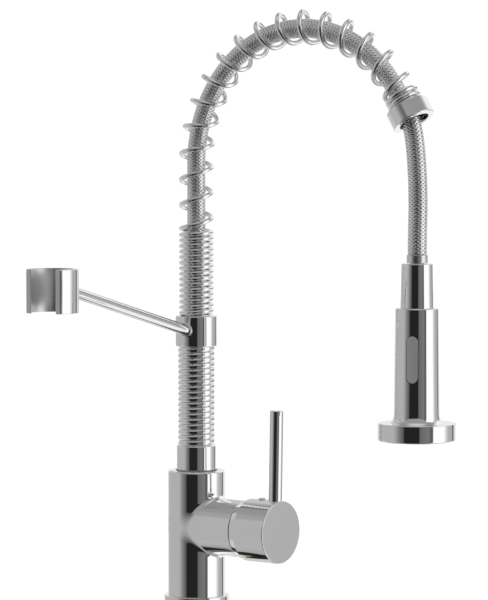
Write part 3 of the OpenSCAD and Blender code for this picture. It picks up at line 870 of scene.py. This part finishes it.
def make_body():
    """The body with its branch: a fitted skin between three turned rims."""
    def solids(bm):
        cylinder_into(bm, BODY_R, BODY_Z - 4, BODY_TOP + 4)
        cylinder_into(bm, BRANCH_R, 0, BRANCH_END + 4, True)

    skin = skin_of(solids, SKIN_VOXEL)
    points = np.empty(len(skin.vertices) * 3)
    skin.vertices.foreach_get("co", points)
    points = points.reshape(-1, 3)
    for _ in range(SETTLE_ROUNDS):
        g = slope(body_surface, points)
        points -= (body_surface(points) / np.maximum((g * g).sum(1), 0.2))[:, None] * g
    skin.vertices.foreach_set("co", points.ravel())
    bm = bmesh.new()
    bm.from_mesh(skin)
    cuts = [((0, 0, BODY_Z + BODY_TRIM), (0, 0, -1)), ((0, 0, BODY_TOP - BODY_TRIM), (0, 0, 1)),
            ((BRANCH_END - BODY_TRIM, 0, 0), (1, 0, 0))]
    for place, normal in cuts:
        bmesh.ops.bisect_plane(bm, geom=bm.verts[:] + bm.edges[:] + bm.faces[:], dist=1e-5,
                               plane_co=place, plane_no=normal, clear_outer=True)
    bm.verts.ensure_lookup_table()
    saddle = np.array([v.co[:] for v in bm.verts])
    faces = [tuple(v.index for v in f.verts) for f in bm.faces]
    bm.to_mesh(skin)
    bm.free()
    rims = [
        lathe_mesh("low_rim", [
            (BODY_HOLLOW_R, BODY_Z + BODY_TRIM, 0), (BODY_HOLLOW_R, BODY_Z, 0.2),
            (BODY_R, BODY_Z, 0.25), (BODY_R, BODY_Z + BODY_TRIM, 0)], closed=False),
        lathe_mesh("top_rim", [
            (BODY_R, BODY_TOP - BODY_TRIM, 0), (BODY_R, BODY_TOP, BODY_EDGE),
            (SPIGOT_HOLE_R, BODY_TOP, 0.3), (SPIGOT_HOLE_R, BODY_TOP - SPIGOT_HOLE_DEPTH, 0)],
            closed=False),
        lathe_mesh("branch_rim", [
            (BRANCH_R, BRANCH_END - BODY_TRIM, 0), (BRANCH_R, BRANCH_END, 0.4),
            (BRANCH_HOLLOW_R, BRANCH_END, 0.3), (BRANCH_HOLLOW_R, BRANCH_HOLLOW_X, 0)],
            closed=False, about_x=True),
    ]
    normals = [slope(body_surface, saddle)]
    normals[0] /= np.linalg.norm(normals[0], axis=1)[:, None]
    points = [saddle * MM]
    start = len(saddle)
    for rim in rims:
        co = np.array([v.co[:] for v in rim.vertices])
        no = np.array([v.normal[:] for v in rim.vertices])
        points.append(co)
        normals.append(no)
        faces += [tuple(i + start for i in f.vertices) for f in rim.polygons]
        start += len(co)
    mesh = bpy.data.meshes.new("body_shell_skin")
    mesh.from_pydata(np.concatenate(points).tolist(), [], faces)
    mesh.polygons.foreach_set("use_smooth", np.ones(len(mesh.polygons), dtype=bool))
    mesh.normals_split_custom_set_from_vertices(np.concatenate(normals).tolist())
    mesh.update()
    add_object("body_shell_skin", mesh, "base", "chrome", ["body_shell"])


make_body()


# ---- turned pieces about the column and the handle ----

BASE_HOLE_R = 17
BASE_STEP_R = 18.8
BASE_STEP = 6
NECK_HOLE_R = 14
COLUMN_HOLE_R = 11
NECK_SHELF_Z = 112
COLLAR_HOLE_R = 13.4
CAP_BEVEL = 5
CAP_RIM_R = 23.4
CAP_HOLLOW_R = 22.9
CAP_HOLLOW_X = 70
PLUG_R = 3.7
PLUG_TIP_R = 2.3
PLUG_FOOT = 23

add_object("base_ring_turned", lathe_mesh("base_ring_turned", [
    (BASE_HOLE_R, BASE_Z, 0.2), (BASE_R, BASE_Z, 0.3), (BASE_R, BODY_Z, 0.6),
    (BASE_STEP_R, BODY_Z, 0.2), (BASE_STEP_R, BODY_Z + BASE_STEP, 0.2),
    (BASE_HOLE_R, BODY_Z + BASE_STEP, 0.2)]),
    "base", "chrome", ["base_ring"])
add_object("neck_ring_turned", lathe_mesh("neck_ring_turned", [
    (NECK_HOLE_R, NECK_Z, 0.2), (NECK_R, NECK_Z, 0.3), (NECK_R, NECK_TOP, 1.2),
    (COLUMN_HOLE_R, NECK_TOP, 0.2), (COLUMN_HOLE_R, NECK_SHELF_Z, 0.2),
    (NECK_HOLE_R, NECK_SHELF_Z, 0.2)]),
    "spout", "chrome", ["neck_ring"])
add_object("holder_collar_turned", lathe_mesh("holder_collar_turned", [
    (COLLAR_HOLE_R, COLLAR_Z, 0.2), (COLLAR_R, COLLAR_Z, 0.8), (COLLAR_R, COLLAR_TOP, 0.8),
    (COLLAR_HOLE_R, COLLAR_TOP, 0.2)]), "holder", "chrome", ["holder_collar"])
add_object("handle_cap_turned", lathe_mesh("handle_cap_turned", [
    (0, CAP_FACE, 0), (CAP_R, CAP_FACE, 0.7), (CAP_R, CAP_BACK + CAP_BEVEL, 0.8),
    (CAP_RIM_R, CAP_BACK, 0.25), (CAP_HOLLOW_R, CAP_BACK, 0.15), (CAP_HOLLOW_R, CAP_HOLLOW_X, 0.5),
    (0, CAP_HOLLOW_X, 0)],
    closed=False, about_x=True), "handle", "chrome", ["handle_cap"])
add_object("index_plug_turned", lathe_mesh("index_plug_turned", [
    (0, HANDLE_Z + PLUG_FOOT, 0), (PLUG_R, HANDLE_Z + PLUG_FOOT, 0.1),
    (PLUG_R, HANDLE_Z + CAP_R + 0.4, 0.8),
    (PLUG_TIP_R, HANDLE_Z + CAP_R + 1.3, 1.5), (0, HANDLE_Z + CAP_R + 1.6, 0)],
    (PLUG_X, 0), closed=False, steps=48), "handle", "chrome", ["index_plug"])


# ---- end ferrule and hose holder ----

def placed(mesh, matrix):
    """Moves a mesh made in millimetres about Z to where it belongs."""
    scaled = Matrix.Translation(matrix.to_translation() * MM) @ matrix.to_3x3().to_4x4()
    mesh.transform(scaled)
    return mesh


def arch_matrix(angle):
    """Where a piece made about Z belongs after the arch has bent by an angle."""
    a = math.radians(angle)
    spot = Vector((ARCH_R * (1 - math.cos(a)), 0, ARCH_Z + ARCH_R * math.sin(a)))
    return Matrix.Translation(spot) @ Matrix.Rotation(a, 4, "Y")


ARM = Matrix.Rotation(math.radians(ARM_AZIMUTH), 4, "Z")
ROD_TILT = Matrix.Rotation(math.radians(90 - ROD_SLOPE), 4, "Y")
ROD = ARM @ Matrix.Translation((0, 0, ROD_ROOT_Z)) @ ROD_TILT
LEVER_TILT = Matrix.Rotation(math.radians(LEVER_LEAN), 4, "Y")
LEVER = Matrix.Translation((LEVER_X, 0, HANDLE_Z)) @ LEVER_TILT
LEVER_ROOT = 10
FERRULE_SEAT_R = 14.1
FERRULE_SEAT = 4.8
ROD_SEAT_R = 5.6
ROD_SEAT_FROM = 13.5
ROD_SEAT_TO = 18.8
ROD_ROOT = 14
ROD_INTO_CLIP = 0.9

add_object("lever_rod_turned", placed(lathe_mesh("lever_rod_turned", [
    (0, LEVER_ROOT, 0), (LEVER_R, LEVER_ROOT, 0.2), (LEVER_R, LEVER_LENGTH, 0.7), (0, LEVER_LENGTH, 0)],
    closed=False, steps=72), LEVER), "handle", "chrome", ["lever_rod"])
add_object("end_ferrule_turned", placed(lathe_mesh("end_ferrule_turned", [
    (FERRULE_SEAT_R, FERRULE_LOW, 0.1), (FERRULE_R, FERRULE_LOW, 0.6), (FERRULE_R, FERRULE_TOP, 0.8),
    (FERRULE_HOLE_R, FERRULE_TOP, 0.5), (FERRULE_HOLE_R, FERRULE_LOW + FERRULE_SEAT, 0.2),
    (FERRULE_SEAT_R, FERRULE_LOW + FERRULE_SEAT, 0.2)]), arch_matrix(ARCH_TURN)),
    "spout", "chrome", ["end_ferrule"])
add_object("rod_seat_turned", placed(lathe_mesh("rod_seat_turned", [
    (ROD_R, ROD_SEAT_FROM, 0.1), (ROD_SEAT_R, ROD_SEAT_FROM, 0.1), (ROD_SEAT_R, ROD_SEAT_TO, 0.6),
    (ROD_R, ROD_SEAT_TO, 0.3)], steps=72), ROD),
    "holder", "chrome", ["rod_seat_ring"])


# Roughness inside and outside the clip, and where one gives way to the other, in metres from its
# inner face
CLIP_SATIN = 0.36
CLIP_POLISH = 0.03
SATIN_ENDS = 0.0002
POLISH_STARTS = 0.0006


def clip_material():
    """Polished outside and satin inside, where the spray head's neck rubs."""
    mat, tree, shader = new_material("clip_chrome")
    shader.inputs["Metallic"].default_value = 1.0
    broad = grain_socket(tree, 12, 2.0)
    tint(tree, shader, broad, (0.88, 0.885, 0.89), (0.93, 0.93, 0.935))
    coords = node(tree, "ShaderNodeTexCoord").outputs["Object"]
    flat = node(tree, "ShaderNodeVectorMath", operation="MULTIPLY")
    flat.inputs[1].default_value = (1, 1, 0)
    away = node(tree, "ShaderNodeVectorMath", operation="DISTANCE")
    away.inputs[1].default_value = (ARM @ Vector((HEAD_X, 0, 0))) * MM
    tree.links.new(coords, flat.inputs[0])
    tree.links.new(flat.outputs[0], away.inputs[0])
    inner = (CLIP_R - CLIP_WALL) * MM
    gloss = node(tree, "ShaderNodeMapRange", {
        "From Min": inner + SATIN_ENDS, "From Max": inner + POLISH_STARTS,
        "To Min": CLIP_SATIN, "To Max": CLIP_POLISH})
    tree.links.new(away.outputs["Value"], gloss.inputs["Value"])
    grain = math_node(tree, "MULTIPLY", grain_socket(tree, 300, 3.0), 0.04)
    tree.links.new(math_node(tree, "ADD", gloss.outputs[0], grain), shader.inputs["Roughness"])
    return mat


def make_holder_rod():
    """The sloping rod, from inside its seat to just inside the clip's wall."""
    reach = HEAD_X - CLIP_R + ROD_INTO_CLIP
    length = reach / math.cos(math.radians(ROD_SLOPE))
    mesh = placed(lathe_mesh("holder_rod_turned", [
        (0, ROD_ROOT, 0), (ROD_R, ROD_ROOT, 0.3), (ROD_R, length, 0.1), (0, length, 0)],
        closed=False, steps=72), ROD)
    add_object("holder_rod_turned", mesh, "holder", "chrome", ["holder_rod"])


# Run of the clip's wall that is kept straight beside each lip's corner
LIP_FLAT = 2.2
LIP_EDGE = 0.8
CLIP_EDGE = 0.5


def clip_plan():
    """Closed plan outline of the C-clip with the corners of its two lips rounded."""
    inner = CLIP_R - CLIP_WALL
    corners = []
    for radius, step in ((CLIP_R, 1), (inner, -1)):
        mouth = math.acos(CLIP_CUT / radius)
        first = mouth + LIP_FLAT / radius
        between = np.linspace(first, 2 * math.pi - first, 90)
        turn = np.concatenate([[mouth], between, [2 * math.pi - mouth]])
        last = len(turn) - 1
        corners += [(radius * math.cos(a), radius * math.sin(a), LIP_EDGE if i in (0, last) else 0)
                    for i, a in list(enumerate(turn))[::step]]
    return rounded(corners, steps=5)


def make_clip():
    """The C-clip: its plan raised between two softened rims."""
    plan = clip_plan()
    along = np.roll(plan, -1, axis=0) - np.roll(plan, 1, axis=0)
    along /= np.linalg.norm(along, axis=1)[:, None]
    inward = np.stack([-along[:, 1], along[:, 0]], 1)
    steps = [math.pi / 2 * k / 4 for k in range(5)]
    lower = [(CLIP_EDGE * (1 - math.sin(a)), CLIP_Z + CLIP_EDGE * (1 - math.cos(a))) for a in steps]
    upper = [(inset, CLIP_TOP + CLIP_Z - z) for inset, z in reversed(lower)]
    rings = [np.column_stack([plan + inward * inset, np.full(len(plan), z)])
             for inset, z in lower + upper]
    count = len(plan)
    outer = np.arange(count // 2 - 1)
    strip = np.stack([outer, outer + 1, count - 2 - outer, count - 1 - outer], axis=1)
    quads = np.concatenate([grid_faces(len(rings), count, 0, False, True), strip,
                            strip + (len(rings) - 1) * count])
    mesh = tidy(mesh_of("holder_clip_c", np.concatenate(rings), quads))
    mesh.set_sharp_from_angle(angle=math.radians(50))
    mesh.transform(Matrix.Translation((HEAD_X * MM, 0, 0)))
    mesh.transform(ARM)
    mesh.materials.append(clip_material())
    add_object("holder_clip_c", mesh, "holder", "chrome", ["holder_clip"])


make_holder_rod()
make_clip()


# ---- spray head ----

def flare(radius_low, radius_high, low_z, high_z, steps=10):
    """Corners of a concave quarter round that widens downwards."""
    a = [math.pi / 2 * i / steps for i in range(steps + 1)]
    return [(radius_high + (radius_low - radius_high) * (1 - math.sin(t)),
             low_z + (high_z - low_z) * (1 - math.cos(t)), 0) for t in a]


HEAD = (HEAD_X, 0)
CRIMP_BORE_R = 5.2
CRIMP_MOUTH_R = 7.2
CRIMP_MOUTH = 2
NECK_WIDE_BORE_R = 9.6
NECK_FOOT_R = 11.9
NECK_LOW_R = 12.6
NECK_HIGH_R = 12
NECK_BORE_R = 5.3
BELL_HOLLOW_R = 26.4
BELL_HOLE_R = 12.5
LAP = 3

add_object("hose_crimp_turned", lathe_mesh("hose_crimp_turned", [
    (CRIMP_BORE_R, CRIMP_Z, 0.1), (CRIMP_R, CRIMP_Z, 0.3), (CRIMP_R, CRIMP_TOP, 0.6),
    (CRIMP_MOUTH_R, CRIMP_TOP, 0.2), (CRIMP_MOUTH_R, CRIMP_TOP - CRIMP_MOUTH, 0.1),
    (CRIMP_BORE_R, CRIMP_TOP - CRIMP_MOUTH, 0.1)], HEAD, steps=96),
    "hose_end", "chrome", ["hose_crimp"]).data.materials[0] = SATIN_CHROME
add_object("spray_neck_turned", lathe_mesh("spray_neck_turned", [
    (NECK_WIDE_BORE_R, SHOULDER_Z - LAP, 0.1), (NECK_FOOT_R, SHOULDER_Z - LAP, 0.1),
    (NECK_FOOT_R, SHOULDER_Z, 0.1), (NECK_LOW_R, SHOULDER_Z, 0.2), (NECK_HIGH_R, SPRAY_NECK_TOP, 0.7),
    (NECK_BORE_R, SPRAY_NECK_TOP, 0.2), (NECK_BORE_R, SPRAY_NECK_TOP - LAP, 0.1),
    (NECK_WIDE_BORE_R, SPRAY_NECK_TOP - LAP, 0.1)], HEAD, steps=112),
    "spray_head", "chrome", ["spray_neck"])
add_object("spray_bell_turned", lathe_mesh("spray_bell_turned", [
    (BELL_HOLLOW_R, HEAD_Z, 0.3), (DISC_R, HEAD_Z, 1.3), (DISC_R, DISC_TOP, 0.6),
    (BELL_HOLE_R, DISC_TOP, 0.2), (BELL_HOLE_R, DISC_TOP - LAP, 0.2),
    (BELL_HOLLOW_R, DISC_TOP - LAP, 0.3)], HEAD, steps=192),
    "spray_head", "chrome", ["spray_bell"])


def button_matrix():
    turn = Matrix.Rotation(math.radians(BUTTON_AZIMUTH), 4, "Z")
    return Matrix.Translation((HEAD_X, 0, BUTTON_Z)) @ turn


def pill(half_w, half_h, steps=24):
    """Closed outline of an upright pill, as (sideways, up) points."""
    turn = np.linspace(0, math.pi, steps)
    top = np.stack([half_w * np.cos(turn), half_h - half_w + half_w * np.sin(turn)], 1)
    return np.concatenate([top, -top])


def wrapped(outline, radius):
    """Points of an outline laid on a cylinder of a radius about the head, facing local +X."""
    a = outline[:, 0] / radius
    return np.stack([radius * np.cos(a), radius * np.sin(a), outline[:, 1]], 1)


BUTTON_FACE_R = 17.15
BUTTON_DEPTH = 2.9
BUTTON_ROLL = 0.75
# How far in from the rolled edge the face's rings go, as a share of its half width
BUTTON_INSET = 0.92
BUTTON_SLOPE = 0.8
SLOT_GAP = 0.28
SLOT_FROM = 8.0
SLOT_TO = 22.0


def make_button():
    """A pill-shaped rocker with a rolled edge, its face curved as the head is."""
    half_w, half_h = BUTTON_W / 2, BUTTON_H / 2
    rings = []
    for k in range(8):
        inset = half_w * BUTTON_INSET * (1 - k / 7)
        rings.append((BUTTON_ROLL + inset * BUTTON_SLOPE, 0.0))
    for k in range(1, 7):
        a = math.pi / 2 * k / 6
        rings.append((BUTTON_ROLL * (1 - math.sin(a)), BUTTON_ROLL * (1 - math.cos(a))))
    rings.append((0, BUTTON_DEPTH))
    loops = [wrapped(pill(max(half_w - inset, 0.02), half_h - inset), BUTTON_FACE_R - depth)
             for inset, depth in rings]
    points = np.concatenate(loops)
    count = len(loops[0])
    quads = grid_faces(len(loops), count, 0, False, True)
    caps = [tuple(range(count)), tuple(range((len(loops) - 1) * count, len(loops) * count))[::-1]]
    mesh = tidy(mesh_of("spray_button_pill", points, quads, caps))
    mesh.set_sharp_from_angle(angle=math.radians(50))
    add_object("spray_button_pill", placed(mesh, button_matrix()), "button", "grey_plastic",
               ["spray_button"])


SHELL_BORE_R = 14.4
SHELL_HOLE_R = 12
SHELL_LID = 3.4
SHELL_LOW_R = 17.3
SHELL_TOP_R = 16.45
FLARE_R = 21
FLARE_TOP = 163.9


def make_spray_body():
    """The handset's shell: turned, then slotted for the button."""
    corners = [(SHELL_BORE_R, DISC_TOP, 0)] + flare(FLARE_R, SHELL_LOW_R, DISC_TOP, FLARE_TOP) + [
        (SHELL_TOP_R, SHOULDER_Z, 0.9), (SHELL_HOLE_R, SHOULDER_Z, 0.1),
        (SHELL_HOLE_R, SHOULDER_Z - SHELL_LID, 0.1), (SHELL_BORE_R, SHOULDER_Z - SHELL_LID, 0.1)]
    mesh = lathe_mesh("spray_body_shell", corners, HEAD, steps=160)
    obj = add_object("spray_body_shell", mesh, "spray_head", "chrome", ["spray_body"])
    slot = pill(BUTTON_W / 2 + SLOT_GAP, BUTTON_H / 2 + SLOT_GAP)
    ends = [np.column_stack([np.full(len(slot), x), slot]) for x in (SLOT_FROM, SLOT_TO)]
    count = len(slot)
    tool_mesh = mesh_of("button_slot", np.concatenate(ends), grid_faces(2, count, 0, False, True),
                        [tuple(range(count)), tuple(range(count, 2 * count))[::-1]])
    tool = bpy.data.objects.new("button_slot", placed(tidy(tool_mesh), button_matrix()))
    bpy.context.collection.objects.link(tool)
    cut = obj.modifiers.new("slot", "BOOLEAN")
    cut.object = tool
    cut.solver = "EXACT"
    bpy.context.view_layer.update()
    depsgraph = bpy.context.evaluated_depsgraph_get()
    result = bpy.data.meshes.new_from_object(obj.evaluated_get(depsgraph))
    obj.modifiers.clear()
    obj.data = result
    result.set_sharp_from_angle(angle=math.radians(30))
    bpy.data.objects.remove(tool)


make_spray_body()
make_button()


# ---- materials of the CAD pieces ----

for part in frame["record"]["subparts"]:
    mesh = frame["nodes"][part["node"]].data
    mesh.materials.clear()
    mesh.materials.append(MATERIALS[part["material_slot"]])
